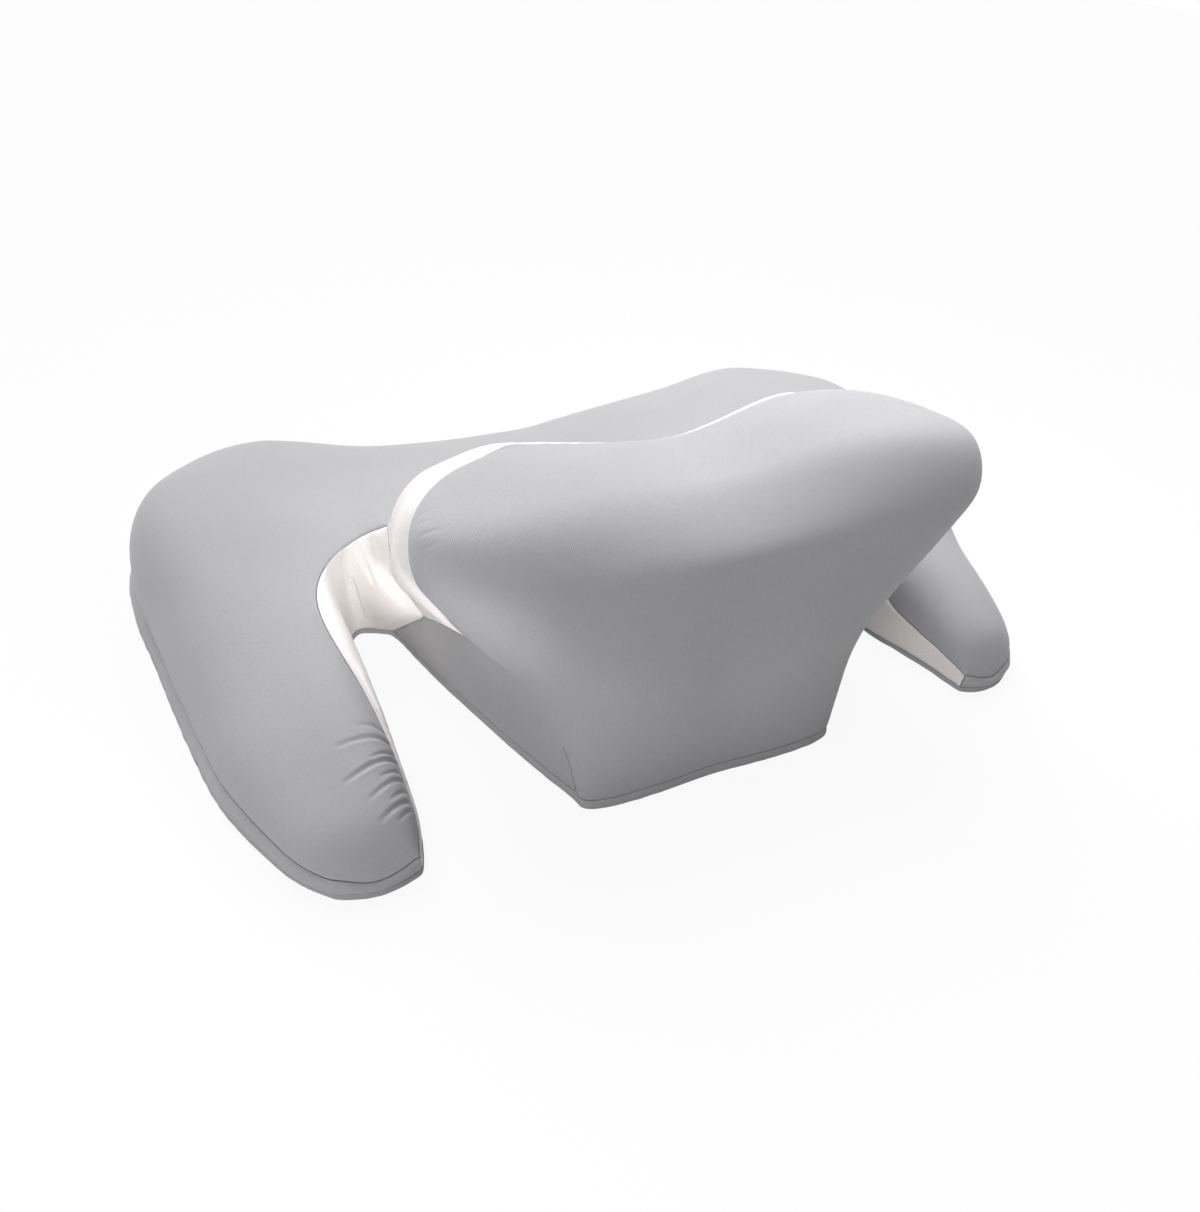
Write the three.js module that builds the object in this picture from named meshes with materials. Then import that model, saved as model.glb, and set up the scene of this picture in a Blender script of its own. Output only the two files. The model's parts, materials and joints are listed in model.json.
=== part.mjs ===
// Cervical pillow with two arm slots: a low wing pad, open at the front, round a tall neck block that
// flares out over the slots. One filled cushion carries a cover sewn from cut panels.
// Millimetres, +Z up, +X to the sleeper's right as they lie, +Y to the rear. The origin is on the
// resting surface, under the centre of the pillow.
import * as THREE from "three";

// ---- driving dimensions ------------------------------------------------------------------------
const CLOTH = 2; // thickness of the padded knit cover
const GAP = 0.3; // between the cover and the filling
const SEAM_INSET = 0.18; // each panel's edge keeps this far from its seam line
const BAND_TOP = 13; // height of the seam between the top panel and the band
const BAND_FLARE = 4; // how far the band stands out at its foot
const BAND_BULGE = 1.5; // and how far it bulges half way down
const TIP_FLARE = 1; // round a wing's tip it stands out by only this much,
const TIP_FADE = 3; // which changes over this many points past the tip
const TIP_DIP = 3.5; // the band's seam dips by this much in the middle of the tip
const HEM = 3.4; // height of the seam round the bottom panel
const RIM = 0.4; // how far the bottom panel stands out under the hem,
const RIM_HEIGHT = 0.4; // at this height
const SOLE_INSET = 4; // how far inside the hem the bottom panel lies flat
const BAND_EASE = 2; // points over which the flare and the bulge fade out at the slots
const OUTER_SHOULDER = 58; // plan width of the rounding inside the band's seam
const INNER_SHOULDER = 26; // and beside the slots and the block
const SHOULDER_TOP = 2.2; // how flat the rounding is at its top,
const SHOULDER_SIDE = 0.55; // and how steep at its foot, less being steeper
const CORNER_PULL = 0.8; // how squarely a row of the front panel turns its corner
const LOBE_PLACE = 82; // how far out each neck lobe stands
const LOBE_FADE = 4; // how late it fades towards the side seam
const ARCH_RISE = 1; // how far the seam from the fork to the arch bows up,
const ARCH_BOW = 5; // and that from the arch to the pad bows out
const SIDE_BULGE = 3; // how far the lower side panels bulge,
const SIDE_BOW = 2.5; // and how far their foot bows out
const SLOT_HANG = 0.5; // the slot wall hangs straight over this share of its height
const END_BULGE = 0.26; // the end panel bulges beside its upper seam by this share of its height,
const END_LIFT = 0.03; // is lifted there by this share,
const REAR_DROP = 0.4; // sinks by this share where it faces the rear,
const END_RISE = 0.28; // and stands up from its lower seam by this share
const BLOCK_CENTRE = -100; // y of the point that the end panel bulges from
const LEAN = 19; // the crest of the soft block sits this far to +X,
const LEAN_FROM = 60; // a shift that starts at this height
const LEAN_FULL = 125; // and is complete at this one;
const LOBE_LEAN = 0.55; // its right lobe is fuller than the left one by this share of the mean
const SWAY = 200; // the rear edge waves between x = 0 and this: on the right it lies
const SWAY_BACK = 4; // up to this much further back,
const SWAY_UP = 0.06; // and up to this share higher; on the left as much less
const SWAY_FROM = 20; // the wave starts at this y
const SWAY_FULL = 100; // and is complete at this one
const ARM_IN = 8; // the right arm bends in by this much past the slot,
const ARM_IN_FROM = 50; // from this far in front of the tables' origin
const ARM_IN_FULL = 100; // to this far;
const SPLAY = 20; // then its inner side turns out by this much,
const SPLAY_OUTER = 0.65; // its outer side by this share of it,
const SPLAY_FROM = 95; // from this far in front of the tables' origin
const SPLAY_FULL = 170; // to this far;
const ARM_BACK = 9; // and its tip lies this much further back
const ARM_INNER = 105; // x where the arm starts,
const ARM_WHOLE = 130; // where all of it moves,
const ARM_OUTER = 215; // and where it ends
const ARM_TOP = 50; // above this height the shift fades out,
const ARM_CLEAR = 63; // and at this one it is gone
const MIDDLE = 10.1; // the tables' origin lies this far in front of the middle of the pillow
const SOFTEN = 0.05; // steadies the inward offset where the faces round a point are nearly level
const LONGEST = 1.5; // limit to its mitre at a sharp edge
const SHARPEST = 0.35; // least cosine that a panel's corner is inset by
const GREY = 0xb4b5b8; // grey jersey
const WHITE = 0xf1ebe8; // off-white jersey
const FOAM = 0xe9e4da;
const CLOTH_ROUGHNESS = 0.9;
const FOAM_ROUGHNESS = 0.95;

// ---- tables: the right half, mirrored in X to the left ------------------------------------------
// Sections across the wing pad, from the tip of a wing to the middle of the rear edge.
// outer: seam with the band; inner: seam with the slot or the block; foot: the slot wall at the hem;
// rise: heights of the pad and of its inner seam; bow: how far the section bows to the front;
// steps: segments to the next section.
const WING = [
  { at: "tip", outer: [190, -177], inner: [150, -179], foot: [150, -179], rise: [13, 13], bow: 5, steps: 1 },
  { at: "toe", outer: [202, -164], inner: [147, -166], foot: [147, -167], rise: [26, 16], bow: 5, steps: 1 },
  { at: "ball", outer: [212, -145], inner: [147, -148], foot: [146, -149], rise: [34, 19], bow: 4, steps: 1 },
  { at: "arm", outer: [226, -114], inner: [149, -124], foot: [147, -128], rise: [42, 25], bow: 3, steps: 2 },
  { at: "elbow", outer: [240, -55], inner: [156, -92], foot: [148, -100], rise: [51, 40], bow: 1, steps: 2 },
  { at: "side", outer: [252, 8], inner: [166, -60], foot: [151, -60], rise: [59, 57], bow: 0, steps: 2 },
  { at: "turn", outer: [260, 54], inner: [164, -34], foot: [154, -30], rise: [64, 62], bow: 0, steps: 2 },
  { at: "end", outer: [253, 111], inner: [149, -14], foot: [146, -9], rise: [68, 65], bow: 0, steps: 3 },
  { at: "corner", outer: [190, 158], inner: [121, 0], foot: [127, -16], rise: [66, 67], bow: 0, steps: 5 },
  { at: "head", outer: [108, 143], inner: [66, 3], rise: [61, 64], bow: 0, steps: 5 },
  { at: "middle", outer: [0, 134], inner: [0, -2], rise: [57, 62], bow: 0, steps: 0 },
];
// Rows of the front panel, from the hem up the front, over the roll and back to the rear seam.
// seam: its side edge; corner: the point that the row turns round; tuck: how much further in the
// left corner lies; mid: [y, z] at x = 0; lobe: extra height of the neck lobes; steps: segments
// to the next row.
const FRONT = [
  { at: "hem", seam: [72, -166, 6], corner: [73, -178, 6], tuck: 0, mid: [-174, 6], lobe: 0, steps: 1 },
  { at: "shin", seam: [77, -156, 37], corner: [78, -179, 29], tuck: 1, mid: [-175, 28], lobe: 0, steps: 1 },
  { at: "knee", seam: [87, -135, 55], corner: [86, -181, 50], tuck: 4, mid: [-175, 50], lobe: 0, steps: 1 },
  { at: "fork", seam: [101, -108, 63], corner: [98, -184, 71], tuck: 16, mid: [-172, 71], lobe: 0, steps: 2 },
  { at: "flare", seam: [117, -102, 77], corner: [113, -180, 88], tuck: 10, mid: [-167, 88], lobe: 0, steps: 1 },
  { at: "cheek", seam: [131, -97, 92], corner: [136, -173, 105], tuck: 3, mid: [-160, 105], lobe: 1, steps: 2 },
  { at: "brow", seam: [141, -88, 108], corner: [168, -161, 125], tuck: 2, mid: [-149, 124], lobe: 5, steps: 1 },
  { at: "crest", seam: [137, -80, 123], corner: [173, -146, 145], tuck: 0, mid: [-122, 132], lobe: 7, steps: 2 },
  { at: "top", seam: [116, -65, 133], corner: [142, -84, 142], tuck: 0, mid: [-90, 130], lobe: 8, steps: 2 },
  { at: "rear", seam: [86, -52, 136], corner: [60, -53, 128], tuck: 0, mid: [-53, 126], lobe: 8, steps: 0 },
];
const SLOT_ROW = 8; // pad section at the corner of the block, where the slot ends
const FORK_ROW = 3; // front row where the end panel starts
const ARCH = [115, -50, 38]; // where slot wall, end panel and side panel meet
const ACROSS = [0, 0.035, 0.1, 0.2, 0.36, 0.56, 0.76, 0.91, 1]; // places of the points across the pad
const FRONT_COLUMNS = 8; // segments from the middle of the front panel to its side
const FORK_STEPS = 5; // segments from the fork to the arch,
const PAD_STEPS = 3; // from the arch to the pad
const FOOT_STEPS = 2; // and from the arch to the hem
const END_STEPS = 4; // rows down the end panel

// ---- curves --------------------------------------------------------------------------------------
const vec = (p) => new THREE.Vector3(p[0], p[1], p[2]);
const mirrored = (p) => new THREE.Vector3(-p.x, p.y, p.z);
const mix = (a, b, t) => a.clone().lerp(b, t);
const range = (n) => Array.from({ length: n + 1 }, (_, i) => i / n);
const ramp = (t) => THREE.MathUtils.smoothstep(t, 0, 1);

// Smooth value of a column of numbers at row position r (Catmull-Rom).
function along(values, r) {
  const i = Math.min(Math.floor(r), values.length - 2);
  const [b, c] = [values[i], values[i + 1]];
  const a = values[i - 1] ?? 2 * b - c;
  const d = values[i + 2] ?? 2 * c - b;
  const t = r - i;
  const curve = (2 * a - 5 * b + 4 * c - d) * t * t + (3 * b - a - 3 * c + d) * t * t * t;
  return b + 0.5 * ((c - a) * t + curve);
}

// One column of a table, number or list, at row position r.
function columnAt(rows, key, r) {
  const column = rows.filter((row) => row[key] !== undefined).map((row) => row[key]);
  if (!Array.isArray(column[0])) return along(column, r);
  return column[0].map((_, i) => along(column.map((entry) => entry[i]), r));
}

// Row positions of a table: each row, and its steps to the next one.
function positions(rows) {
  const between = rows.slice(0, -1).flatMap((row, i) => range(row.steps).slice(0, -1).map((t) => i + t));
  return [...between, rows.length - 1];
}

const bezier = (a, b, c, d, t) => new THREE.CubicBezierCurve3(a, b, c, d).getPoint(t);

// Share of the full height at a place inside a rounded edge: 0 on the seam, 1 past the shoulder.
const shoulder = (place) => (1 - (1 - Math.min(place, 1)) ** SHOULDER_TOP) ** SHOULDER_SIDE;

// Level direction that looks out to the right of a line of points, at point i.
function outward(line, i) {
  const a = line[Math.max(0, i - 1)];
  const b = line[Math.min(line.length - 1, i + 1)];
  return new THREE.Vector3(b.y - a.y, a.x - b.x, 0).normalize();
}

// ---- wing pad --------------------------------------------------------------------------------------
function wingSection(r) {
  const outer = vec([...columnAt(WING, "outer", r), BAND_TOP]);
  const [crown, edge] = columnAt(WING, "rise", r);
  const inner = vec([...columnAt(WING, "inner", r), edge]);
  const bow = columnAt(WING, "bow", r);
  const width = Math.hypot(outer.x - inner.x, outer.y - inner.y);
  const outerShoulder = Math.min(OUTER_SHOULDER, width / 2);
  const innerShoulder = Math.min(INNER_SHOULDER, width / 3);
  return ACROSS.map((v) => {
    const p = mix(outer, inner, v);
    const puff = shoulder((v * width) / outerShoulder) * shoulder(((1 - v) * width) / innerShoulder);
    p.z += Math.max(crown - p.z, 0) * puff;
    p.y -= bow * Math.sin(Math.PI * v);
    p.z -= TIP_DIP * Math.sin(Math.PI * v) ** 2 * Math.max(1 - r, 0);
    return p;
  });
}

const wingRows = positions(WING);
const rightWing = wingRows.map(wingSection);
const leftWing = rightWing.slice(0, -1).reverse().map((row) => row.map(mirrored));
const topPanel = [...rightWing, ...leftWing]; // from the right tip round the rear to the left tip
const innerSeam = topPanel.map((row) => row[row.length - 1]);
const slotCount = wingRows.indexOf(SLOT_ROW); // sections along a slot

// Band round the outside, from the inner corner of the right tip to that of the left one.
const rightTip = topPanel[0].slice(1).reverse();
const leftTip = topPanel[topPanel.length - 1].slice(1);
const bandTop = [...rightTip, ...topPanel.map((row) => row[0]), ...leftTip];
const band = bandTop.map((top, i) => {
  const out = outward(bandTop, i);
  const place = Math.min(i, bandTop.length - 1 - i);
  const free = Math.min(1, place / BAND_EASE);
  const flare = THREE.MathUtils.lerp(TIP_FLARE, BAND_FLARE, ramp((place - rightTip.length) / TIP_FADE));
  const foot = top.clone().setZ(HEM).addScaledVector(out, flare * free);
  const middle = mix(top, foot, 0.5).addScaledVector(out, BAND_BULGE * free);
  return [top, middle, foot];
});

// ---- neck block --------------------------------------------------------------------------------------
// Half a row, from the middle to the seam: the right half with side = 1, the left with side = -1.
function halfRow(r, side) {
  const seam = vec(columnAt(FRONT, "seam", r));
  const corner = vec(columnAt(FRONT, "corner", r));
  const middle = vec([0, ...columnAt(FRONT, "mid", r)]);
  const lobe = (1 + LOBE_LEAN * side) * columnAt(FRONT, "lobe", r);
  if (side < 0) corner.x -= columnAt(FRONT, "tuck", r);
  return range(FRONT_COLUMNS).map((t) => {
    const p = bezier(middle, mix(middle, corner, CORNER_PULL), mix(seam, corner, CORNER_PULL), seam, t);
    const phase = Math.min(1, p.x / (2 * LOBE_PLACE));
    p.z += lobe * Math.sin(Math.PI * phase) ** 2 * (1 - t ** LOBE_FADE);
    return p;
  });
}

function frontRow(r) {
  const left = halfRow(r, -1).slice(1).reverse().map(mirrored);
  return [...left, ...halfRow(r, 1)];
}

const frontRows = positions(FRONT);
const frontPanel = frontRows.map(frontRow); // hem to rear seam, each row from left to right
const sideSeam = frontPanel.map((row) => row[row.length - 1]);
const fork = frontRows.indexOf(FORK_ROW);

// Seams beside the slot: fork to arch, arch to the pad, arch to the hem.
const arch = vec(ARCH);
const blockFoot = vec([...WING[SLOT_ROW].foot, HEM]);
const forkToArch = range(FORK_STEPS).map((t) => {
  const p = mix(sideSeam[fork], arch, t);
  p.z += ARCH_RISE * Math.sin(Math.PI * t);
  return p;
});
const padToArch = range(PAD_STEPS).map((t) => {
  const p = mix(innerSeam[slotCount], arch, t);
  p.x += ARCH_BOW * Math.sin(Math.PI * t);
  return p;
});
const archToFoot = range(FOOT_STEPS).map((t) => mix(arch, blockFoot, t));

// Lower side panel: a lens between the front panel's edge and the hem.
const sideTop = [...sideSeam.slice(0, fork), ...forkToArch];
const sidePanel = sideTop.map((top, i) => {
  const t = i / (sideTop.length - 1);
  if (t === 1) return archToFoot;
  const foot = mix(sideTop[0], blockFoot, t);
  foot.x += SIDE_BOW * Math.sin(Math.PI * t);
  return range(FOOT_STEPS).map((v) => {
    const p = mix(top, foot, v);
    p.x += SIDE_BULGE * Math.sin(Math.PI * v) * Math.sin(Math.PI * t);
    return p;
  });
});

// Slot panel: down from the pad's inner seam, from the wing's tip to the corner of the block.
const slotEnd = [...padToArch, ...archToFoot.slice(1)];
const [tipTop, tipMiddle, tipFoot] = band[0];
const slotStart = [tipTop, tipTop, tipMiddle, tipMiddle, tipFoot, tipFoot];
const slotPanel = innerSeam.slice(0, slotCount + 1).map((top, i) => {
  if (i === 0) return slotStart;
  if (i === slotCount) return slotEnd;
  const foot = vec([...columnAt(WING, "foot", wingRows[i]), HEM]);
  const over = foot.clone().setZ(top.z);
  const down = foot.clone().setZ(top.z * SLOT_HANG);
  const pull = ramp(wingRows[i] - (SLOT_ROW - 1)); // over its last row the wall is drawn to the arch
  return range(PAD_STEPS + FOOT_STEPS).map((v, k) => {
    const drawn = mix(top.clone().sub(slotEnd[0]), foot.clone().sub(blockFoot), v).add(slotEnd[k]);
    return bezier(top, over, down, foot, v).lerp(drawn, pull);
  });
});

// End panel: both ends and the rear of the block, from the front panel's upper seam to the pad.
const rearSeam = frontPanel[frontPanel.length - 1];
const upperSide = sideSeam.slice(fork, -1);
const endTop = [...upperSide, ...rearSeam.slice().reverse(), ...upperSide.slice().reverse().map(mirrored)];
const lowerSide = [...forkToArch, ...padToArch.slice(1, -1).reverse()];
const padSeam = innerSeam.slice(slotCount, innerSeam.length - slotCount);
const endFoot = [...lowerSide, ...padSeam, ...lowerSide.slice().reverse().map(mirrored)];
if (endTop.length !== endFoot.length) {
  throw new Error(`end panel: ${endTop.length} points above and ${endFoot.length} below`);
}
const endPanel = endTop.map((top, i) => {
  const foot = endFoot[i];
  const reach = top.distanceTo(foot);
  const out = vec([top.x, top.y - BLOCK_CENTRE, 0]).normalize();
  const over = top.clone().addScaledVector(out, END_BULGE * reach);
  over.z += (END_LIFT - REAR_DROP * Math.max(out.y, 0) ** 4) * reach;
  const rise = foot.clone();
  rise.z += END_RISE * reach;
  return range(END_STEPS).map((v) => bezier(top, over, rise, foot, v));
});

// ---- skin: the outer surface, with points shared between the panels ------------------------------------
// How far the right arm's soft end shifts at a point of the tables.
function armShift(p) {
  const low = ramp((ARM_CLEAR - p.z) / (ARM_CLEAR - ARM_TOP));
  const part = low * ramp((p.x - ARM_INNER) / (ARM_WHOLE - ARM_INNER));
  const bend = ramp((-p.y - ARM_IN_FROM) / (ARM_IN_FULL - ARM_IN_FROM));
  const turn = ramp((-p.y - SPLAY_FROM) / (SPLAY_FULL - SPLAY_FROM));
  const across = ramp((p.x - ARM_WHOLE) / (ARM_OUTER - ARM_WHOLE));
  const splay = SPLAY * THREE.MathUtils.lerp(1, SPLAY_OUTER, across);
  return new THREE.Vector3(splay * turn - ARM_IN * bend, ARM_BACK * turn, 0).multiplyScalar(part);
}

// A point of the tables where it comes to lie: the soft block leans, the rear edge waves and the
// right arm bends.
function settled(p) {
  const lean = LEAN * ramp((p.z - LEAN_FROM) / (LEAN_FULL - LEAN_FROM));
  const reach = THREE.MathUtils.clamp(p.x / SWAY, -1, 1);
  const sway = Math.sin(Math.PI * reach) * ramp((p.y - SWAY_FROM) / (SWAY_FULL - SWAY_FROM));
  const place = new THREE.Vector3(p.x + lean, p.y + SWAY_BACK * sway + MIDDLE, p.z * (1 + SWAY_UP * sway));
  return place.add(armShift(p));
}

const points = []; // welded points of the whole skin
const indices = new Map();
function pointIndex(p) {
  const key = p.toArray().map((value) => Math.round(value * 1000)).join();
  if (!indices.has(key)) {
    indices.set(key, points.length);
    points.push(p);
  }
  return indices.get(key);
}

const isTriangle = ([a, b, c]) => a !== b && b !== c && c !== a;

// Triangles of a grid of points. Its front faces out, or its back where the grid is turned.
function gridTriangles(grid, turned) {
  const triangles = [];
  for (let i = 0; i + 1 < grid.length; i++) {
    for (let j = 0; j + 1 < grid[i].length; j++) {
      const [a, b] = [pointIndex(grid[i][j]), pointIndex(grid[i + 1][j])];
      const [c, d] = [pointIndex(grid[i + 1][j + 1]), pointIndex(grid[i][j + 1])];
      triangles.push([a, b, c], [a, c, d]);
    }
  }
  const faces = triangles.filter(isTriangle);
  return turned ? faces.map(([a, b, c]) => [a, c, b]) : faces;
}

// Boundary of a set of triangles, as directed edges [a, b].
function openEdges(triangles) {
  const edges = new Map();
  for (const [a, b, c] of triangles) {
    for (const [from, to] of [[a, b], [b, c], [c, a]]) edges.set(`${from},${to}`, [from, to]);
  }
  return [...edges.values()].filter(([from, to]) => !edges.has(`${to},${from}`));
}

const mapGrid = (grid, change) => grid.map((row) => row.map(change));
const panelTriangles = (grid, turned) => gridTriangles(mapGrid(grid, settled), turned);
const panels = {
  top_panel: panelTriangles(topPanel, false),
  band: panelTriangles(band, true),
  front_panel: panelTriangles(frontPanel, true),
  side_panel_right: panelTriangles(sidePanel, true),
  side_panel_left: panelTriangles(mapGrid(sidePanel, mirrored), false),
  slot_panel_right: panelTriangles(slotPanel, false),
  slot_panel_left: panelTriangles(mapGrid(slotPanel, mirrored), true),
  end_panel: panelTriangles(endPanel, true),
};

// Bottom panel: a rim under the hem all round, then flat on the resting surface.
function edgeLoop(edges) {
  const next = new Map(edges);
  const loop = [edges[0][0]];
  while (next.get(loop[loop.length - 1]) !== loop[0]) loop.push(next.get(loop[loop.length - 1]));
  return loop;
}

const hem = edgeLoop(openEdges(Object.values(panels).flat())).map((index) => points[index]);
const hemCount = hem.length;
const hemOut = hem.map((p, i) => {
  const before = hem[(i + hemCount - 1) % hemCount];
  const after = hem[(i + 1) % hemCount];
  return outward([before, p, after], 1);
});
const rim = hem.map((p, i) => p.clone().setZ(RIM_HEIGHT).addScaledVector(hemOut[i], RIM));
const sole = hem.map((p, i) => p.clone().setZ(0).addScaledVector(hemOut[i], -SOLE_INSET));
const ring = hem.map((p, i) => [p, rim[i], sole[i]]);
const soleIndex = sole.map(pointIndex);
const soleShape = sole.map((p) => new THREE.Vector2(p.x, p.y));
const soleFaces = THREE.ShapeUtils.triangulateShape(soleShape, []);
panels.bottom_panel = [
  ...gridTriangles([...ring, ring[0]], true),
  ...soleFaces.map(([a, b, c]) => [soleIndex[a], soleIndex[c], soleIndex[b]]),
];
const skin = Object.values(panels).flat();
if (openEdges(skin).length > 0) throw new Error("the skin is not closed");

// ---- depth: how each point moves to reach one millimetre inside the skin --------------------------------
const sums = points.map(() => ({ normals: new Array(9).fill(0), target: new THREE.Vector3() }));
for (const face of skin) {
  const corners = face.map((index) => points[index]);
  const normal = new THREE.Triangle(...corners).getNormal(new THREE.Vector3());
  face.forEach((index, k) => {
    const before = corners[(k + 2) % 3].clone().sub(corners[k]);
    const after = corners[(k + 1) % 3].clone().sub(corners[k]);
    const weight = before.angleTo(after);
    const n = normal.toArray();
    const products = n.flatMap((a) => n.map((b) => weight * a * b));
    sums[index].normals = sums[index].normals.map((sum, m) => sum + products[m]);
    sums[index].target.addScaledVector(normal, -weight);
  });
}
const depth = sums.map(({ normals, target }) => {
  const matrix = new THREE.Matrix3().set(...normals);
  for (const diagonal of [0, 4, 8]) matrix.elements[diagonal] += SOFTEN;
  return target.clone().applyMatrix3(matrix.invert()).clampLength(0, LONGEST);
});

// ---- solids ----------------------------------------------------------------------------------------------
// Closed mesh from lists of points and triangles.
function solid(name, color, roughness, vertices, triangles) {
  const geometry = new THREE.BufferGeometry().setFromPoints(vertices);
  geometry.setIndex(triangles.flat());
  geometry.computeVertexNormals();
  const mesh = new THREE.Mesh(geometry, new THREE.MeshStandardMaterial({ color, roughness, metalness: 0 }));
  mesh.name = name;
  return mesh;
}

// A panel: its outer face, an inner face one cloth deeper, and a wall round its edge, drawn in a
// little from the seam line.
function panelSolid(name, color, faces) {
  const used = [...new Set(faces.flat())];
  const local = new Map(used.map((index, i) => [index, i]));
  const edges = openEdges(faces);
  const inward = new Map(edges.map(([from]) => [from, []]));
  const facing = new Map();
  for (const face of faces) {
    const normal = new THREE.Triangle(...face.map((index) => points[index])).getNormal(new THREE.Vector3());
    face.forEach((index, k) => facing.set(`${index},${face[(k + 1) % 3]}`, normal));
  }
  for (const [from, to] of edges) {
    const edge = points[to].clone().sub(points[from]);
    const side = facing.get(`${from},${to}`).clone().cross(edge).normalize();
    inward.get(from).push(side);
    inward.get(to).push(side);
  }
  const outer = used.map((index) => {
    const sides = inward.get(index) ?? [];
    if (sides.length === 0) return points[index].clone();
    const shift = sides.reduce((sum, side) => sum.add(side), new THREE.Vector3()).normalize();
    const reach = Math.max(SHARPEST, shift.dot(sides[0]));
    return points[index].clone().addScaledVector(shift, SEAM_INSET / reach);
  });
  const inner = outer.map((p, i) => p.clone().addScaledVector(depth[used[i]], CLOTH));
  const count = used.length;
  const top = faces.map((face) => face.map((index) => local.get(index)));
  const under = top.map(([a, b, c]) => [a + count, c + count, b + count]);
  const wall = edges.flatMap(([a, b]) => {
    const [from, to] = [local.get(a), local.get(b)];
    const [fromIn, toIn] = [from + count, to + count];
    if (a < b) return [[to, from, fromIn], [to, fromIn, toIn]];
    return [[to, from, toIn], [from, fromIn, toIn]]; // both panels at a seam share one diagonal
  });
  return solid(name, color, CLOTH_ROUGHNESS, [...outer, ...inner], [...top, ...under, ...wall]);
}

const isWhite = (name) => name.startsWith("slot_panel") || name === "end_panel";

const pillow = new THREE.Group();
pillow.name = "cervical_pillow";
for (const [name, faces] of Object.entries(panels)) {
  pillow.add(panelSolid(name, isWhite(name) ? WHITE : GREY, faces));
}
const core = points.map((p, index) => p.clone().addScaledVector(depth[index], CLOTH + GAP));
pillow.add(solid("filling", FOAM, FOAM_ROUGHNESS, core, skin));

export default pillow;
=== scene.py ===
"""Cervical pillow: the looks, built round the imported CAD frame.

The cover is one smooth skin, refined from the outer faces of the CAD panels. A short cloth
simulation swells it a little. Then it is grooved, puckered and creased in code, and cut at its
seams into the sewn panels, each a sheet of jersey over the foam.
Metres, +Z up, +Y to the rear, as in the frame.
"""

import json
import math

import bmesh
import bpy
import numpy as np
from mathutils import Matrix, Vector, noise
from mathutils.bvhtree import BVHTree
from mathutils.kdtree import KDTree


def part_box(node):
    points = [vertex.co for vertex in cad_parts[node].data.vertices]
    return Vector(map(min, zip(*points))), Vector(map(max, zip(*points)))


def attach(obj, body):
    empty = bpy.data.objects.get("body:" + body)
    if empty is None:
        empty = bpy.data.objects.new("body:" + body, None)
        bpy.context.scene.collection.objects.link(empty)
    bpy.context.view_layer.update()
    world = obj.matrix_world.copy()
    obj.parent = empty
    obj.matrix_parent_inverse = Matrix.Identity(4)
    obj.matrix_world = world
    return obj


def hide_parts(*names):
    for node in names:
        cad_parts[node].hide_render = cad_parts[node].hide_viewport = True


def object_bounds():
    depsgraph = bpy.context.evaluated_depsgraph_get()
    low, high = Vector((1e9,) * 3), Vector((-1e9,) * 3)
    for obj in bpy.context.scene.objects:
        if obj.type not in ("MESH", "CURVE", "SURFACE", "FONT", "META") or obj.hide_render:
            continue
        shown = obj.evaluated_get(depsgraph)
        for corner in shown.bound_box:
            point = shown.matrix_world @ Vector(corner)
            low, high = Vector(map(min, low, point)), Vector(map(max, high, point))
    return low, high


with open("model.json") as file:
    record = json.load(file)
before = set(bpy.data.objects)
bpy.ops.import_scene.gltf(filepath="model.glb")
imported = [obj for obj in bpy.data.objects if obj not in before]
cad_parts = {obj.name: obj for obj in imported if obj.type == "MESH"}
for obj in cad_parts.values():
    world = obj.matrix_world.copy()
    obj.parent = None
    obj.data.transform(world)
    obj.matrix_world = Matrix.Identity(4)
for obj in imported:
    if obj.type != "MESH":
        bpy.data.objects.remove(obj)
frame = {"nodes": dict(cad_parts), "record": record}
cad_low, cad_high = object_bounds()
scene = bpy.context.scene

MM = 0.001
FOAM = "filling"
PANELS = [name for name in frame["nodes"] if name != FOAM]
BOTTOM = PANELS.index("bottom_panel")


def linked(name, data):
    """A new object in the scene."""
    obj = bpy.data.objects.new(name, data)
    scene.collection.objects.link(obj)
    return obj


def modified(obj):
    """A new mesh: the object's, as its modifiers leave it."""
    graph = bpy.context.evaluated_depsgraph_get()
    return bpy.data.meshes.new_from_object(obj.evaluated_get(graph))


# ---- camera -------------------------------------------------------------------------------
AZIMUTH = math.radians(25.16)  # it looks along +Y, turned this far towards +X
ELEVATION = math.radians(39.31)
ROLL = math.radians(3.63)
DISTANCE = 0.5577
LOOK_AT = Vector((-1.66 * MM, -20.6 * MM, 0))
FOCAL = 900 / 1212  # focal length as a share of the picture's longer side
SENSOR = 36


def make_camera():
    forward = Vector((
        math.sin(AZIMUTH) * math.cos(ELEVATION),
        math.cos(AZIMUTH) * math.cos(ELEVATION),
        -math.sin(ELEVATION),
    ))
    level = Vector((math.cos(AZIMUTH), -math.sin(AZIMUTH), 0))
    upright = level.cross(forward)
    right = level * math.cos(ROLL) + upright * math.sin(ROLL)
    up = upright * math.cos(ROLL) - level * math.sin(ROLL)
    data = bpy.data.cameras.new("camera")
    data.sensor_width = SENSOR
    data.lens = SENSOR * FOCAL
    data.clip_start = 0.01
    camera = linked("camera", data)
    camera.matrix_world = Matrix.Translation(LOOK_AT - forward * DISTANCE) @ Matrix((
        (right.x, up.x, -forward.x, 0),
        (right.y, up.y, -forward.y, 0),
        (right.z, up.z, -forward.z, 0),
        (0, 0, 0, 1),
    ))
    scene.camera = camera


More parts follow.
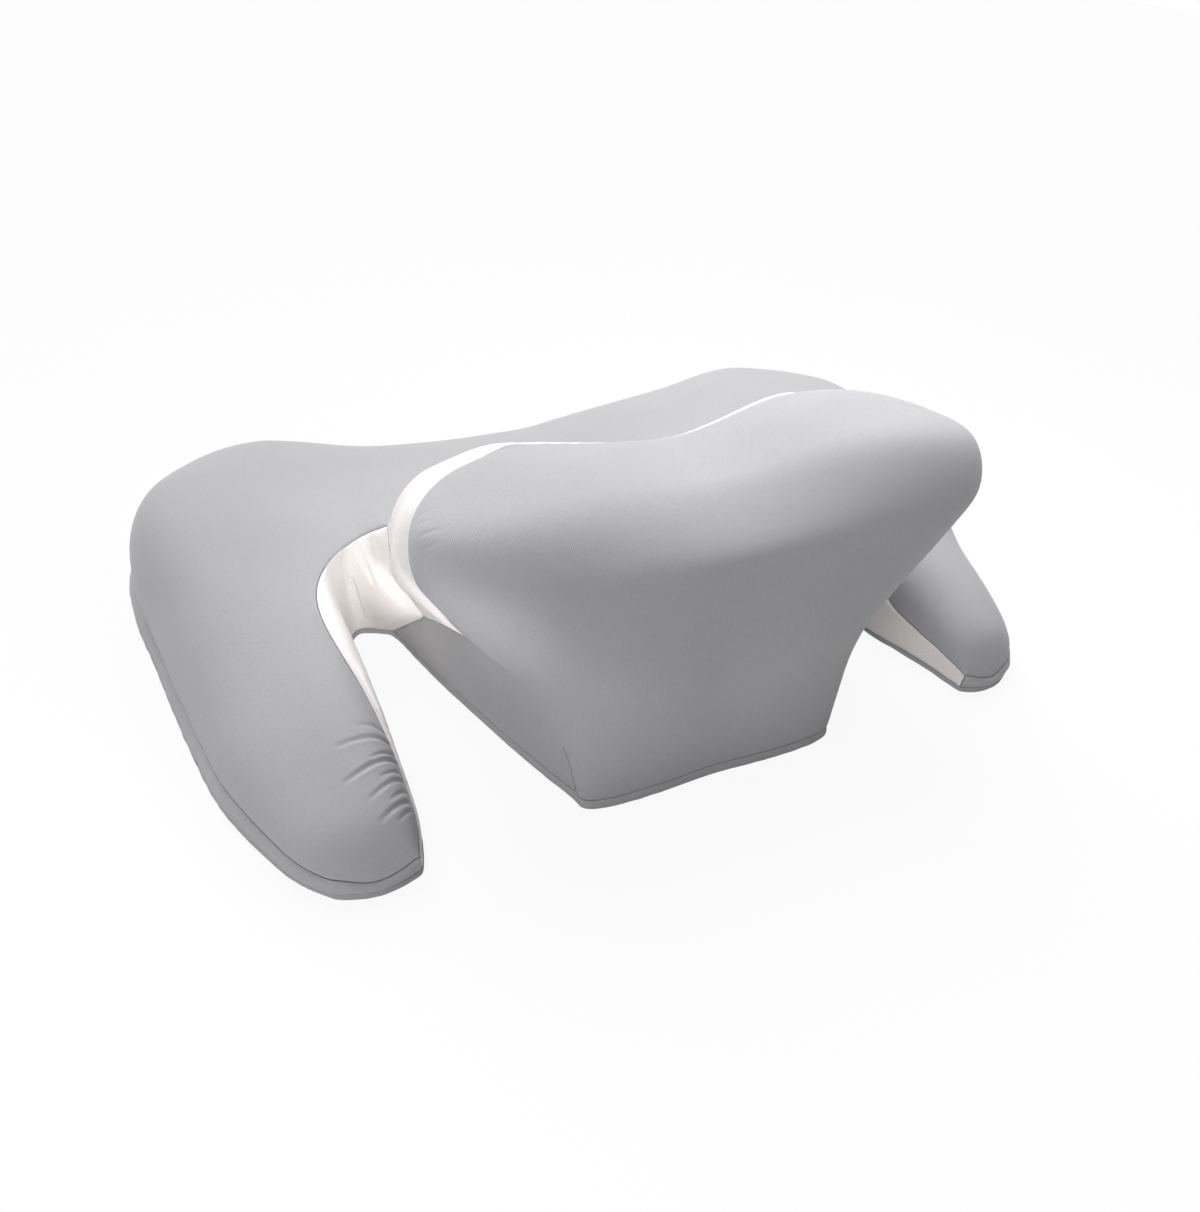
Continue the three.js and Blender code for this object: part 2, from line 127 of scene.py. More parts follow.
# ---- the skin: one closed mesh from the outer faces of the CAD panels ----------------------
SAME = 0.02 * MM  # copies of one point within a node lie this close
SEAM_REACH = 0.7 * MM  # and points of two panels that meet at a seam this close
OUTER_FROM = 1.3 * MM  # points further than this from the foam are on the cover's outside
SOLE_BELOW = 0.1 * MM  # faces under this are the flat sole, which is filled in at the end


def welded(points, reach):
    """The centre of each group of points closer than reach, and each point's group."""
    tree = KDTree(len(points))
    for index, point in enumerate(points):
        tree.insert(point, index)
    tree.balance()
    group = np.full(len(points), -1)
    count = 0
    for index, point in enumerate(points):
        if group[index] < 0:
            near = [other for _, other, _ in tree.find_range(point, reach) if group[other] < 0]
            group[near] = count
            count += 1
    sums = np.zeros((count, 3))
    np.add.at(sums, group, points)
    return sums / np.bincount(group)[:, None], group


def node_mesh(name):
    """A CAD node's points and triangles, with the copies of each point joined."""
    mesh = frame["nodes"][name].data
    points = np.empty(3 * len(mesh.vertices))
    mesh.vertices.foreach_get("co", points)
    mesh.calc_loop_triangles()
    corners = np.empty(3 * len(mesh.loop_triangles), dtype=int)
    mesh.loop_triangles.foreach_get("vertices", corners)
    centres, group = welded(points.reshape(-1, 3), SAME)
    return centres, group[corners].reshape(-1, 3)


def skin_cage():
    """The outer faces of all panels but the sole, joined at the seams.

    A face's material index is its panel.
    """
    foam_points, foam_faces = node_mesh(FOAM)
    foam = BVHTree.FromPolygons(foam_points.tolist(), foam_faces.tolist())
    points, faces, panels = [], [], []
    for panel, name in enumerate(PANELS):
        panel_points, panel_faces = node_mesh(name)
        outer = np.array([foam.find_nearest(point)[3] > OUTER_FROM for point in panel_points])
        sole = (panel_points[:, 2] < SOLE_BELOW)[panel_faces].all(axis=1)
        kept = panel_faces[outer[panel_faces].all(axis=1) & ~sole]
        faces += (kept + len(points)).tolist()
        panels += [panel] * len(kept)
        points += panel_points.tolist()
    used = sorted({index for face in faces for index in face})
    centres, group = welded(np.array(points)[used], SEAM_REACH)
    place = dict(zip(used, group))
    cage = bmesh.new()
    verts = [cage.verts.new(centre) for centre in centres]
    for face, panel in zip(faces, panels):
        corners = {place[index] for index in face}
        if len(corners) == 3:
            cage.faces.new([verts[place[index]] for index in face]).material_index = panel
    bmesh.ops.join_triangles(
        cage, faces=cage.faces, cmp_materials=True,
        angle_face_threshold=math.pi, angle_shape_threshold=math.pi,
    )
    return cage


def is_seam(edge):
    return len({face.material_index for face in edge.link_faces}) > 1


# ---- refining the skin ---------------------------------------------------------------------
SEAM_CREASE = 0.45  # how sharply the skin turns at a seam, 1 being a knife edge
FIT_ROUNDS = 2
FIT_REACH = 0.2  # the most that a point moves in a round, as a share of its shortest edge
LEVELS = 2  # subdivisions before the skin is swollen
LAST_LEVELS = 1  # and after it
FINE = 1.1 * MM  # edges near a seam are split down to about this length
FINE_NEAR = 5 * MM
FINE_ROUNDS = 2
CREASE_FINE = 0.6 * MM  # and those near a crease to this
CREASE_NEAR = 5 * MM
CREASE_ROUNDS = 2
SPLIT_FROM = 1.3  # an edge is split if it is this many times as long as it should be
SAMPLE = 0.4 * MM  # spacing of the points that stand for the seams


def subdivided(cage, levels):
    mesh = bpy.data.meshes.new("cage")
    cage.to_mesh(mesh)
    holder = linked("cage", mesh)
    modifier = holder.modifiers.new("subdivide", "SUBSURF")
    modifier.levels = levels
    result = modified(holder)
    bpy.data.objects.remove(holder)
    bpy.data.meshes.remove(mesh)
    return result


def crease_seams(skin):
    layers = skin.edges.layers.float
    crease = layers.get("crease_edge") or layers.new("crease_edge")
    for edge in skin.edges:
        edge[crease] = SEAM_CREASE if is_seam(edge) else 0


def finer(skin, levels):
    """The skin subdivided; the given one is used up."""
    crease_seams(skin)
    mesh = subdivided(skin, levels)
    skin.free()
    result = bmesh.new()
    result.from_mesh(mesh)
    bpy.data.meshes.remove(mesh)
    return result


def smooth_skin(cage):
    """The cage subdivided to a smooth skin that still passes close to the cage's own points."""
    crease_seams(cage)
    aims = [vert.co.copy() for vert in cage.verts]
    for _ in range(FIT_ROUNDS):
        mesh = subdivided(cage, 1)
        for vert, aim, smooth in zip(cage.verts, aims, mesh.vertices):
            shift = aim - smooth.co
            reach = FIT_REACH * min(edge.calc_length() for edge in vert.link_edges)
            vert.co += shift * min(1, reach / max(shift.length, SAME))
        bpy.data.meshes.remove(mesh)
    return finer(cage, LEVELS)


class Seams:
    """Finds how far a point is from the nearest seam, and the nearest point on it."""

    def __init__(self, skin):
        samples = []
        for edge in filter(is_seam, skin.edges):
            start, end = (vert.co for vert in edge.verts)
            count = max(1, round(edge.calc_length() / SAMPLE))
            samples += [start.lerp(end, step / count) for step in range(count + 1)]
        self.tree = KDTree(len(samples))
        for index, sample in enumerate(samples):
            self.tree.insert(sample, index)
        self.tree.balance()

    def nearest(self, point):
        sample, _, distance = self.tree.find(point)
        return sample, distance


def refine(skin, seams, lines):
    """Splits the long edges near the seams, and further those near the creases."""
    zones = []
    for run, _, _ in lines:
        radius = np.linalg.norm(run[-1] - run[0]) / 2 + CREASE_NEAR
        zones.append((Vector(run.mean(axis=0)), radius))
    for limit in [FINE] * FINE_ROUNDS + [CREASE_FINE] * CREASE_ROUNDS:
        long_edges = []
        for edge in skin.edges:
            if edge.calc_length() < limit * SPLIT_FROM:
                continue
            middle = (edge.verts[0].co + edge.verts[1].co) / 2
            in_zone = any((middle - centre).length < radius for centre, radius in zones)
            if in_zone or (limit == FINE and seams.nearest(middle)[1] < FINE_NEAR):
                long_edges.append(edge)
        bmesh.ops.subdivide_edges(skin, edges=long_edges, cuts=1, use_grid_fill=True)


# ---- cloth: the foam swells the cover between its seams ------------------------------------
CLOTH = {
    "mass": 0.15,
    "tension_stiffness": 25,
    "compression_stiffness": 8,
    "shear_stiffness": 8,
    "bending_stiffness": 0.5,
    "use_pressure": True,
    "uniform_pressure_force": 3.0,
}
FRAMES = 20
SWELL = 1.5 * MM  # the most that a point may move outwards
EVEN_ROUNDS = 8  # rounds in which the swelling is evened out between neighbouring points


def evened(skin, values, rounds, loose=1):
    """One value a point, evened out between neighbours. Where loose is 0, it is pulled to 0."""
    near = np.array([[vert.index for vert in edge.verts] for edge in skin.edges])
    count = np.bincount(near.ravel())
    for _ in range(rounds):
        total = np.zeros_like(values)
        np.add.at(total, near[:, 0], values[near[:, 1]])
        np.add.at(total, near[:, 1], values[near[:, 0]])
        values = (values + (total.T / count).T) / 2 * loose
    return values


def is_held(vert):
    return vert.is_boundary or any(is_seam(edge) for edge in vert.link_edges)


def swell(skin):
    """A short cloth simulation: pressure from inside, with the seams and the sole's edge held."""
    skin.verts.index_update()
    mesh = bpy.data.meshes.new("cloth")
    skin.to_mesh(mesh)
    holder = linked("cloth", mesh)
    held = holder.vertex_groups.new(name="held")
    held.add([vert.index for vert in skin.verts if is_held(vert)], 1.0, "REPLACE")
    cloth = holder.modifiers.new("cloth", "CLOTH")
    cloth.settings.vertex_group_mass = held.name
    for key, value in CLOTH.items():
        setattr(cloth.settings, key, value)
    cloth.settings.effector_weights.gravity = 0
    cloth.collision_settings.use_collision = False
    cloth.point_cache.frame_start = 1
    cloth.point_cache.frame_end = FRAMES
    for number in range(1, FRAMES + 1):
        scene.frame_set(number)
    result = modified(holder)
    skin.normal_update()
    outward = np.array([
        min(max((place.co - vert.co).dot(vert.normal), 0), SWELL)
        for vert, place in zip(skin.verts, result.vertices)
    ])
    loose = ~np.array([is_held(vert) for vert in skin.verts])
    for vert, distance in zip(skin.verts, evened(skin, outward, EVEN_ROUNDS, loose)):
        vert.co += vert.normal * distance
    bpy.data.objects.remove(holder)
    bpy.data.meshes.remove(mesh)
    bpy.data.meshes.remove(result)
    scene.frame_set(1)


# ---- creases and folds ---------------------------------------------------------------------
# Creases seen from above. place: where they start, as shares of their panel's box in x and y;
# run: how far they go in x and y. Run, depth and width are in millimetres.
CREASES = {
    # along the inner edge of the left wing, where the cover is gathered
    "slot_panel_left": [
        {"place": (0.32, 0.345), "run": (-16, -2), "depth": 0.45, "width": 1.3},
        {"place": (0.32, 0.310), "run": (-26, -5), "depth": 0.8, "width": 1.3},
        {"place": (0.32, 0.274), "run": (-12, -7), "depth": 0.7, "width": 1.1},
        {"place": (0.32, 0.249), "run": (-26, -12), "depth": 1.0, "width": 1.3},
        {"place": (0.32, 0.215), "run": (-10, -6), "depth": 0.6, "width": 1.0},
        {"place": (0.32, 0.190), "run": (-18, -12), "depth": 0.7, "width": 1.1},
        {"place": (0.32, 0.157), "run": (-8, -7), "depth": 0.6, "width": 1.0},
        {"place": (0.32, 0.126), "run": (-15, -10), "depth": 0.85, "width": 1.2},
        {"place": (0.32, 0.104), "run": (-7, -7), "depth": 0.55, "width": 1.0},
    ],
    # at the block's left seam and at its rear right corner
    "front_panel": [
        {"place": (0.020, 0.60), "run": (9, -1), "depth": 0.25, "width": 1.1},
        {"place": (0.016, 0.55), "run": (7, -2), "depth": 0.22, "width": 1.0},
        {"place": (0.014, 0.49), "run": (9, -2), "depth": 0.25, "width": 1.1},
        {"place": (0.012, 0.44), "run": (7, -2), "depth": 0.2, "width": 1.0},
        {"place": (0.874, 0.74), "run": (-4, -20), "depth": 0.4, "width": 1.6},
        {"place": (0.898, 0.74), "run": (-6, -23), "depth": 0.5, "width": 1.6},
        {"place": (0.911, 0.72), "run": (-8, -25), "depth": 0.4, "width": 1.6},
    ],
}
# Upright folds in the rear wall of the left slot. place: share of the panel's width from its
# outer side; top, foot: heights as shares of the panel's; slant: how far the foot lies towards
# the block, as a share of the panel's width. Depth and width are in millimetres.
SLOT_PANEL = "slot_panel_left"
SLOT_FOLDS = [
    {"place": 0.33, "top": 0.86, "foot": 0.38, "slant": 0.05, "depth": 1.7, "width": 1.7},
    {"place": 0.41, "top": 0.62, "foot": 0.12, "slant": 0.06, "depth": 1.8, "width": 1.8},
    {"place": 0.52, "top": 0.95, "foot": 0.66, "slant": 0.08, "depth": 1.6, "width": 1.7},
    {"place": 0.70, "top": 0.95, "foot": 0.78, "slant": 0.00, "depth": 1.2, "width": 2.0},
]
SLOT_MIDDLE = -40 * MM  # y inside the slot, from where its rear wall is looked for
RUN_STEPS = 8
FADE_FROM = 0.2  # a crease starts this far into its fade, so it is already there at the seam
FADE_POWER = 0.7
RIDGE = 0.6  # how strongly the cloth rises in low ridges beside a crease


def run_on(surface, start, end, way):
    """Points on the skin: where the straight run from start to end meets it along way."""
    steps = (start.lerp(end, step / RUN_STEPS) for step in range(RUN_STEPS + 1))
    return np.array([surface.ray_cast(point, way)[0] for point in steps])


def crease_lines(surface):
    """Every crease and fold: its points on the skin, its depth and its width."""
    lines = []
    for panel, rows in CREASES.items():
        low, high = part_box(panel)
        size = high - low
        for row in rows:
            across, along = row["place"]
            start = Vector((low.x + across * size.x, low.y + along * size.y, cad_high.z))
            end = start + Vector((*row["run"], 0)) * MM
            run = run_on(surface, start, end, Vector((0, 0, -1)))
            lines.append((run, row["depth"] * MM, row["width"] * MM))
    low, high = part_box(SLOT_PANEL)
    size = high - low
    for row in SLOT_FOLDS:
        x = low.x + row["place"] * size.x
        foot_x = x + row["slant"] * size.x
        top = Vector((x, SLOT_MIDDLE, low.z + row["top"] * size.z))
        foot = Vector((foot_x, SLOT_MIDDLE, low.z + row["foot"] * size.z))
        run = run_on(surface, top, foot, Vector((0, 1, 0)))
        lines.append((run, row["depth"] * MM, row["width"] * MM))
    return lines


def creases(points, lines):
    """Depth at each point: a trough along each line, with ridges beside it, fading to its end."""
    depth = np.zeros(len(points))
    for run, deep, width in lines:
        nearest = np.full(len(points), np.inf)
        share = np.zeros(len(points))
        for step, (start, end) in enumerate(zip(run, run[1:])):
            along = end - start
            place = np.clip((points - start) @ along / (along @ along), 0, 1)
            away = np.linalg.norm(points - start - place[:, None] * along, axis=1)
            nearer = away < nearest
            nearest[nearer] = away[nearer]
            share[nearer] = (step + place[nearer]) / RUN_STEPS
        away = nearest / width
        fade = np.sin(np.pi * (share * (1 - FADE_FROM) + FADE_FROM)) ** FADE_POWER
        depth += deep * fade * (1 - RIDGE * away**2) * np.exp(-0.5 * away**2)
    return depth


# ---- shaping: the seams' grooves and tucks, the creases, and slow waves --------------------
GROOVE = 0.75 * MM  # depth of the groove at a seam
GROOVE_WIDTH = 0.9 * MM
DIP = 0.35 * MM  # and of the soft dip round it
DIP_WIDTH = 5 * MM
TUCK = 0.5 * MM  # height of the small tucks that the sewing draws in
TUCK_LENGTH = 5 * MM  # how far they reach from the seam
TUCK_SIZE = 5.5 * MM  # and how far apart they lie along it
WAVE = 0.5 * MM  # slow unevenness of the whole cover
WAVE_SIZE = 55 * MM
DEEPEST = 1.6 * MM  # no seam or crease goes deeper than this, so the cloth stays off the foam


def shape(skin, seams, lines):
    skin.normal_update()
    verts = list(skin.verts)
    points = np.array([vert.co for vert in verts])
    normals = np.array([vert.normal for vert in verts])
    found = [seams.nearest(vert.co) for vert in verts]
    away = np.array([distance for _, distance in found])
    tucks = np.array([noise.noise(sample / TUCK_SIZE) for sample, _ in found])
    waves = np.array([noise.noise(vert.co / WAVE_SIZE) for vert in verts])
    groove = np.exp(-(away / GROOVE_WIDTH) ** 2)
    inward = GROOVE * groove + DIP * np.exp(-(away / DIP_WIDTH) ** 2)
    drawn = np.exp(-away / TUCK_LENGTH) * (1 - groove)
    inward += TUCK * tucks * drawn - WAVE * waves
    inward += creases(points, lines)
    inward = DEEPEST * np.tanh(inward / DEEPEST)
    inward[[vert.is_boundary for vert in verts]] = 0  # the edge of the sole stays down
    moved = points - inward[:, None] * normals
    moved[:, 2] = np.maximum(moved[:, 2], 0)
    for vert, place in zip(verts, moved):
        vert.co = place


# ---- panels --------------------------------------------------------------------------------
SEAM_GAP = 0.2 * MM  # each panel's edge stands this far from the seam line
JERSEY_THICKNESS = 1.5 * MM
BEVEL = 0.5  # how far a panel's edge is drawn in at its inner side, as a share of its thickness
NORMAL_ROUNDS = 6  # rounds in which the normals are evened out between neighbouring points
RIM_ANGLE = math.radians(50)  # edges that turn further than this are shaded sharp


def top_of(vertices):
    return max(vert.co.z for vert in vertices)


def steady_normals(skin):
    """Each point's normal, evened out; at the sole's edge it leans downwards too."""
    skin.normal_update()
    skin.verts.index_update()
    normals = evened(skin, np.array([vert.normal for vert in skin.verts]), NORMAL_ROUNDS)
    normals /= np.linalg.norm(normals, axis=1)[:, None]
    normals[[vert.is_boundary for vert in skin.verts]] += (0, 0, -1)
    return normals / np.linalg.norm(normals, axis=1)[:, None]


def fill_sole(piece):
    """Closes the bottom panel with its flat sole."""
    hole = [edge for edge in piece.edges if edge.is_boundary and top_of(edge.verts) < SOLE_BELOW]
    bmesh.ops.triangle_fill(piece, edges=hole, use_beauty=True, normal=(0, 0, -1))


def away_from_rim(piece):
    """For each point on the edge of the piece, the way from it into the piece."""
    ways = {}
    for edge in piece.edges:
        if edge.is_boundary:
            face = edge.link_faces[0]
            start, end = (vert.co for vert in edge.verts)
            side = face.normal.cross(end - start).normalized()
            if side.dot(face.calc_center_median() - start) < 0:
                side.negate()
            for vert in edge.verts:
                ways[vert] = ways.get(vert, Vector()) + side
    return {vert: way.normalized() for vert, way in ways.items()}


def panel_mesh(skin, panel, normals):
    """One sewn panel: its own faces of the skin, its edge drawn in from the seam line."""
    piece = bmesh.new()
    copies = {}
    for face in [face for face in skin.faces if face.material_index == panel]:
        for vert in face.verts:
            if vert not in copies:
                copies[vert] = piece.verts.new(vert.co)
        piece.faces.new([copies[vert] for vert in face.verts])
    if panel == BOTTOM:
        fill_sole(piece)
    piece.normal_update()
    for face in piece.faces:
        if face.normal.z > 0 and top_of(face.verts) < SOLE_BELOW:
            face.normal_flip()
    inward = away_from_rim(piece)
    for vert, copy in copies.items():
        way = Vector(normals[vert.index])
        if copy in inward:
            copy.co += inward[copy] * SEAM_GAP
            way -= inward[copy] * BEVEL
        copy.normal = way  # the cloth's inner side lies against this
    return piece


def thicken(piece):
    """Adds the cloth's inner side and its edge."""
    outer = list(piece.faces)
    rims = [
        (loop.vert, loop.link_loop_next.vert)
        for face in outer for loop in face.loops if loop.edge.is_boundary
    ]
    inner = {}
    for vert in list(piece.verts):
        place = vert.co - vert.normal * JERSEY_THICKNESS
        inner[vert] = piece.verts.new((place.x, place.y, max(place.z, 0)))
    for face in outer:
        piece.faces.new([inner[vert] for vert in reversed(face.verts)])
    for start, end in rims:
        piece.faces.new([end, start, inner[start], inner[end]])


def shown(name, piece):
    """A shown object from a panel's mesh, which it uses up."""
    mesh = bpy.data.meshes.new(name)
    piece.to_mesh(mesh)
    piece.free()
    mesh.shade_smooth()
    mesh.set_sharp_from_angle(angle=RIM_ANGLE)
    return linked(name, mesh)


# ---- foam ----------------------------------------------------------------------------------
FOAM_INSET = 3.4 * MM  # how far it is drawn in from the CAD filling, to clear the cover
FOAM_LEVELS = 2
GRAIN = 0.3 * MM  # unevenness of its surface
GRAIN_SIZE = 12 * MM


def foam_core():
    """The foam block under the cover, smoothed and drawn in."""
    points, faces = node_mesh(FOAM)
    cage = bmesh.new()
    verts = [cage.verts.new(point) for point in points]
    for face in faces:
        cage.faces.new([verts[index] for index in face])
    bmesh.ops.join_triangles(
        cage, faces=cage.faces, angle_face_threshold=math.pi, angle_shape_threshold=math.pi
    )
    core = bmesh.new()
    mesh = subdivided(cage, FOAM_LEVELS)
    core.from_mesh(mesh)
    core.normal_update()
    for vert in core.verts:
        grain = GRAIN * noise.noise(vert.co / GRAIN_SIZE)
        vert.co -= vert.normal * (FOAM_INSET + grain)
    core.to_mesh(mesh)
    core.free()
    cage.free()
    mesh.shade_smooth()
    return linked("foam_core", mesh)


# ---- materials -----------------------------------------------------------------------------
GREY = (0.44, 0.437, 0.451)
GREY_SHADE = (0.412, 0.409, 0.422)
WHITE = (0.93, 0.90, 0.885)
WHITE_SHADE = (0.91, 0.87, 0.85)
PORE_PAINTED_SHADE = (0.72, 0.68, 0.58)  # the foam's colour darkened as painted shade in the middle of a cell, where its bump dips into a pore
CELL_EDGE = (0.86, 0.83, 0.76)
WALE = 0.9 * MM  # width of a column of stitches
COURSE = 0.7 * MM  # height of a row of stitches
STITCH_V = 0.5  # how far the sides of a stitch lie from its middle, in rows
SIDE_BLEND = 6.0  # how sharply the knit changes from one side's lie to the next
# The next four are each a gain and an offset.
LOOP = (0.25, 0.75)  # how the knit rises and falls along a column
DRIFT = (1.6, -0.3)  # slow drift of the colour between its two shades
HEATHER = (0.16, 0.92)  # fine mottling of the yarn
PAINTED_STITCH_SHADE = (0.14, 0.90)  # painted shade: the knit's colour darkens where it dips between its stitches


class Nodes:
    """Short calls for building a node tree."""

    def __init__(self, tree):
        self.tree = tree
        tree.nodes.clear()

    def add(self, kind, inputs=(), **settings):
        made = self.tree.nodes.new(kind)
        for key, value in settings.items():
            setattr(made, key, value)
        for key, value in dict(inputs).items():
            if isinstance(value, bpy.types.NodeSocket):
                self.tree.links.new(value, made.inputs[key])
            else:
                made.inputs[key].default_value = value
        return made

    def math(self, operation, *values):
        return self.add("ShaderNodeMath", dict(enumerate(values)), operation=operation).outputs[0]

    def mixed(self, factor, color, other):
        inputs = {"Factor": factor, 6: (*color, 1), 7: (*other, 1)}
        return self.add("ShaderNodeMix", inputs, data_type="RGBA").outputs[2]

    def noise(self, place, scale, detail):
        inputs = {"Vector": place, "Scale": scale, "Detail": detail}
        return self.add("ShaderNodeTexNoise", inputs).outputs[0]


def stitches(nodes, across, along):
    """Height of the knit, 0 to 1, from two coordinates in metres."""
    wale = nodes.math("FRACT", nodes.math("DIVIDE", across, WALE))
    side = nodes.math("ABSOLUTE", nodes.math("MULTIPLY_ADD", wale, 2.0, -1.0))
    row = nodes.math("DIVIDE", along, COURSE)
    course = nodes.math("ADD", row, nodes.math("MULTIPLY", side, STITCH_V))
    loop = nodes.math("SINE", nodes.math("MULTIPLY", course, 2 * math.pi))
    rib = nodes.math("SUBTRACT", 1.0, nodes.math("MULTIPLY", side, side))
    return nodes.math("MULTIPLY", rib, nodes.math("MULTIPLY_ADD", loop, *LOOP))


def knit_height(nodes, place):
    """The knit laid on from three sides, each where the surface faces it."""
    x, y, z = nodes.add("ShaderNodeSeparateXYZ", {0: place}).outputs
    facing = nodes.add("ShaderNodeNewGeometry").outputs["Normal"]
    total, weights = None, None
    for normal, (across, along) in zip(
        nodes.add("ShaderNodeSeparateXYZ", {0: facing}).outputs, ((y, z), (x, z), (x, y))
    ):
        weight = nodes.math("POWER", nodes.math("ABSOLUTE", normal), SIDE_BLEND)
        height = nodes.math("MULTIPLY", stitches(nodes, across, along), weight)
        total = height if total is None else nodes.math("ADD", total, height)
        weights = weight if weights is None else nodes.math("ADD", weights, weight)
    return nodes.math("DIVIDE", total, weights)


def jersey(name, color, shade, sheen):
    """Smooth knit: its colour drifts at random between color and shade, with a fine heather, and
    is darkened between its stitches as painted shade.
    """
    material = bpy.data.materials.new(name)
    material.use_nodes = True
    nodes = Nodes(material.node_tree)
    place = nodes.add("ShaderNodeTexCoord").outputs["Object"]
    height = knit_height(nodes, place)
    drift = nodes.noise(place, 9.0, 3.0)
    yarn = nodes.noise(place, 700.0, 2.0)
    blend = nodes.mixed(nodes.math("MULTIPLY_ADD", drift, *DRIFT), color, shade)
    heather = nodes.math("MULTIPLY_ADD", yarn, *HEATHER)
    # painted shade: where the knit's height is low, between its stitches, its colour is darkened
    stitch_shade = nodes.math("MULTIPLY_ADD", height, *PAINTED_STITCH_SHADE)
    heather_and_shade = nodes.math("MULTIPLY", heather, stitch_shade)
    tinted = nodes.add("ShaderNodeVectorMath", {0: blend, "Scale": heather_and_shade}, operation="SCALE")
    bump = nodes.add("ShaderNodeBump", {
        "Height": height, "Strength": 0.5, "Distance": 0.12 * MM,
    })
    shader = nodes.add("ShaderNodeBsdfPrincipled", {
        "Base Color": tinted.outputs[0], "Roughness": 0.88,
        "Sheen Weight": sheen, "Sheen Roughness": 0.45,
        "Specular IOR Level": 0.25, "Normal": bump.outputs[0],
    })
    nodes.add("ShaderNodeOutputMaterial", {"Surface": shader.outputs[0]})
    return material


def foam_material():
    material = bpy.data.materials.new("foam")
    material.use_nodes = True
    nodes = Nodes(material.node_tree)
    place = nodes.add("ShaderNodeTexCoord").outputs["Object"]
    voronoi = nodes.add("ShaderNodeTexVoronoi", {"Vector": place, "Scale": 900.0})
    cells = voronoi.outputs["Distance"]
    bump = nodes.add("ShaderNodeBump", {
        "Height": cells, "Strength": 0.6, "Distance": 0.3 * MM,
    })
    # painted shade: the middles of the cells, low in the bump, take the darker colour
    shader = nodes.add("ShaderNodeBsdfPrincipled", {
        "Base Color": nodes.mixed(cells, PORE_PAINTED_SHADE, CELL_EDGE), "Roughness": 0.95,
        "Normal": bump.outputs[0],
    })
    nodes.add("ShaderNodeOutputMaterial", {"Surface": shader.outputs[0]})
    return material


# ---- stage and light -----------------------------------------------------------------------
FLOOR = 4  # half its side
FLOOR_DROP = 0.2 * MM  # how far it lies under the sole
FLOOR_GLOW = 0.92  # share of it that the camera sees as plain white; the rest takes shadows
SKY = 0.04  # the light that the surroundings cast
WIDE = math.radians(45)


def seen(nodes):
    """1 for what is seen, straight or in gloss or glass, and 0 for the light that it casts."""
    path = nodes.add("ShaderNodeLightPath").outputs
    mirrored = nodes.math("MAXIMUM", path["Is Glossy Ray"], path["Is Transmission Ray"])
    return nodes.math("MAXIMUM", path["Is Camera Ray"], mirrored)


def make_floor():
    """A pale floor that the camera sees as white, with the pillow's shadow on it."""
    mesh = bpy.data.meshes.new("floor")
    corners = [(-FLOOR, -FLOOR, 0), (FLOOR, -FLOOR, 0), (FLOOR, FLOOR, 0), (-FLOOR, FLOOR, 0)]
    mesh.from_pydata(corners, [], [(0, 1, 2, 3)])
    floor = linked("floor", mesh)
    floor.location.z = -FLOOR_DROP
    material = bpy.data.materials.new("floor")
    material.use_nodes = True
    nodes = Nodes(material.node_tree)
    lit = nodes.add("ShaderNodeBsdfDiffuse", {"Color": (0.8, 0.8, 0.8, 1)})
    glow = nodes.add("ShaderNodeEmission", {"Color": (1, 1, 1, 1), "Strength": 1.0})
    mix = nodes.add("ShaderNodeMixShader", {
        0: nodes.math("MULTIPLY", seen(nodes), FLOOR_GLOW), 1: lit.outputs[0], 2: glow.outputs[0],
    })
    nodes.add("ShaderNodeOutputMaterial", {"Surface": mix.outputs[0]})
    mesh.materials.append(material)


def make_world():
    world = bpy.data.worlds.new("studio")
    scene.world = world
    world.use_nodes = True
    nodes = Nodes(world.node_tree)
    sky = nodes.add("ShaderNodeBackground", {"Color": (1, 1, 1, 1), "Strength": SKY})
    white = nodes.add("ShaderNodeBackground", {"Color": (1, 1, 1, 1), "Strength": 1.0})
    mix = nodes.add("ShaderNodeMixShader", {
        0: seen(nodes), 1: sky.outputs[0], 2: white.outputs[0],
    })
    nodes.add("ShaderNodeOutputWorld", {"Surface": mix.outputs[0]})


def add_lamp(name, kind, energy, place, aim=(0, 0, 0), **settings):
    """A lamp at place that shines towards aim."""
    data = bpy.data.lights.new(name, kind)
    data.energy = energy
    for key, value in settings.items():
        setattr(data, key, value)
    lamp = linked(name, data)
    lamp.location = place
    lamp.rotation_euler = (Vector(place) - Vector(aim)).to_track_quat("Z", "Y").to_euler()
    return lamp


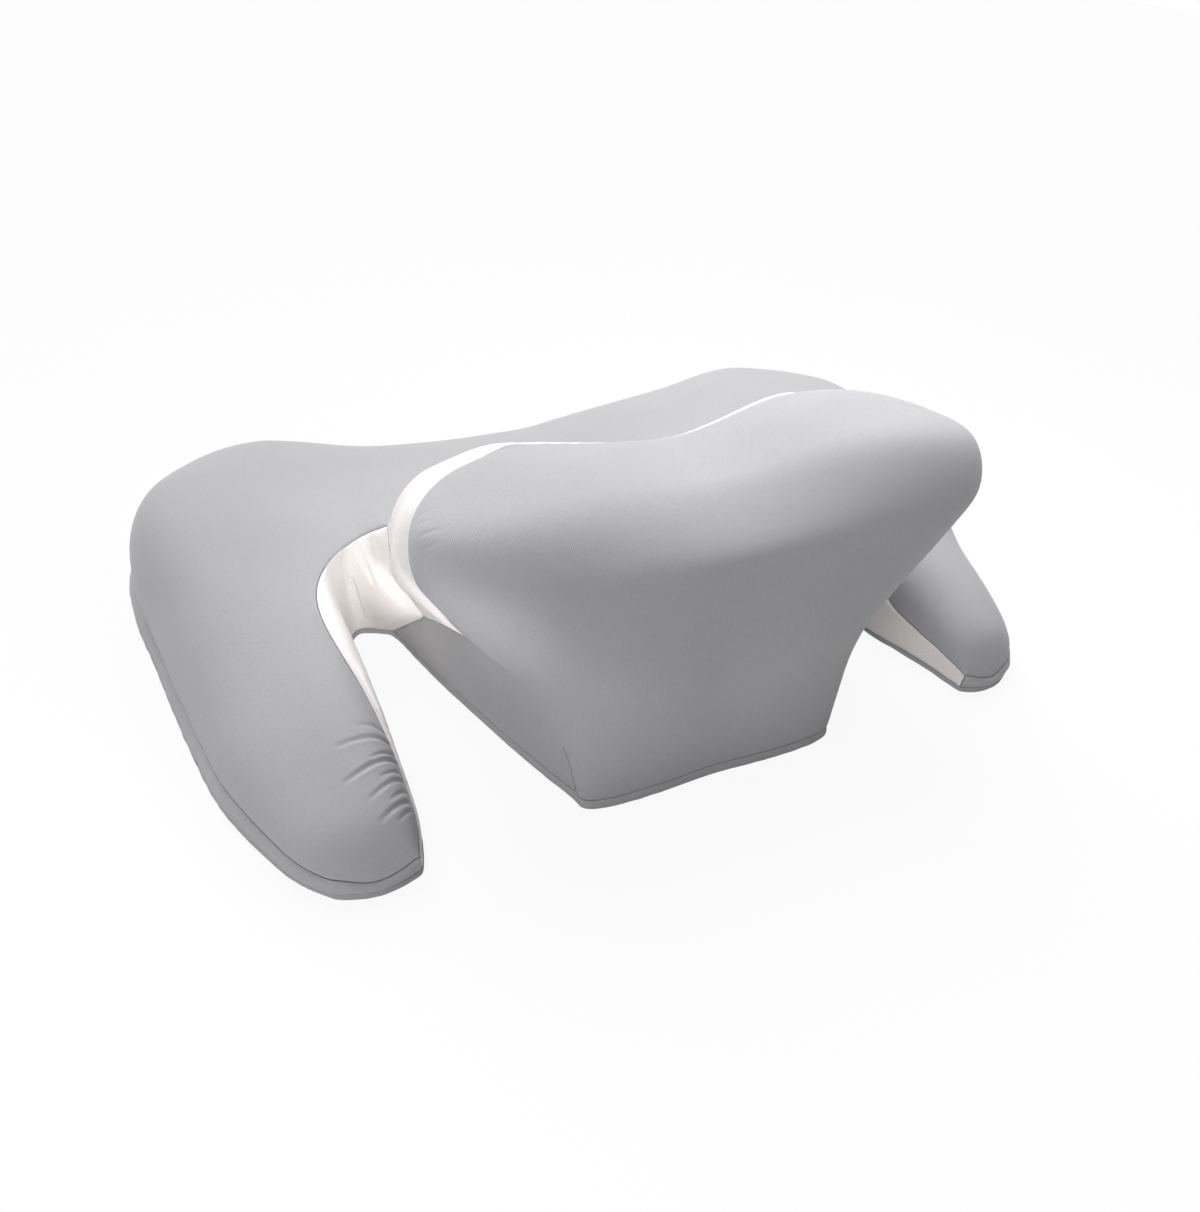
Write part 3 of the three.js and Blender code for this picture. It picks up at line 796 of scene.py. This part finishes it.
def add_softbox(name, power, place, aim):
    """A round softbox close above the pillow, which itself is not seen."""
    lamp = add_lamp(name, "AREA", power, place, aim, shape="DISK", size=0.3)
    lamp.visible_camera = False


def make_lamps():
    """Three wide far lamps, two softboxes, and a narrow soft beam into the left slot."""
    add_lamp("key", "SUN", 3.35, (0, 0.76, 0.73), angle=WIDE)
    add_lamp("fill", "SUN", 0.82, (-0.6, -0.6, 0.6), angle=WIDE)
    add_lamp("right", "SUN", 0.25, (0.7, 0.3, 0.5), angle=WIDE)
    add_softbox("softbox", 0.95, (0.2, 0.04, 0.45), (0.05, -0.03, 0.1))
    add_softbox("low softbox", 0.36, (-0.35, -0.35, 0.3), (-0.14, -0.02, 0.05))
    add_lamp(
        "slot", "SPOT", 9.5, (-0.115, -0.62, 0.30), (-0.14, -0.01, 0.035),
        spot_size=math.radians(9), spot_blend=1, shadow_soft_size=0.03,
    )


# ---- the pillow ----------------------------------------------------------------------------
SLOTS = {row["node"]: row["material_slot"] for row in frame["record"]["subparts"]}


def make_skin():
    """The skin in its final shape, each face marked with its panel."""
    skin = smooth_skin(skin_cage())
    swell(skin)
    skin = finer(skin, LAST_LEVELS)
    seams = Seams(skin)
    lines = crease_lines(BVHTree.FromBMesh(skin))
    refine(skin, seams, lines)
    shape(skin, seams, lines)
    return skin


def make_pillow():
    skin = make_skin()
    finishes = {
        "grey_jersey": jersey("grey_jersey", GREY, GREY_SHADE, 0.15),
        "white_jersey": jersey("white_jersey", WHITE, WHITE_SHADE, 0.1),
        "filling": foam_material(),
    }
    foam = foam_core()
    foam.data.materials.append(finishes["filling"])
    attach(foam, "root")
    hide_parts(FOAM)
    normals = steady_normals(skin)
    for panel, name in enumerate(PANELS):
        cloth = panel_mesh(skin, panel, normals)
        area = sum(face.calc_area() for face in cloth.faces)
        thicken(cloth)
        piece = shown("cover_" + name, cloth)
        piece.data.materials.append(finishes[SLOTS[name]])
        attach(piece, "root")
        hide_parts(name)


make_camera()
make_floor()
make_world()
make_lamps()
make_pillow()
scene.view_settings.view_transform = "Standard"
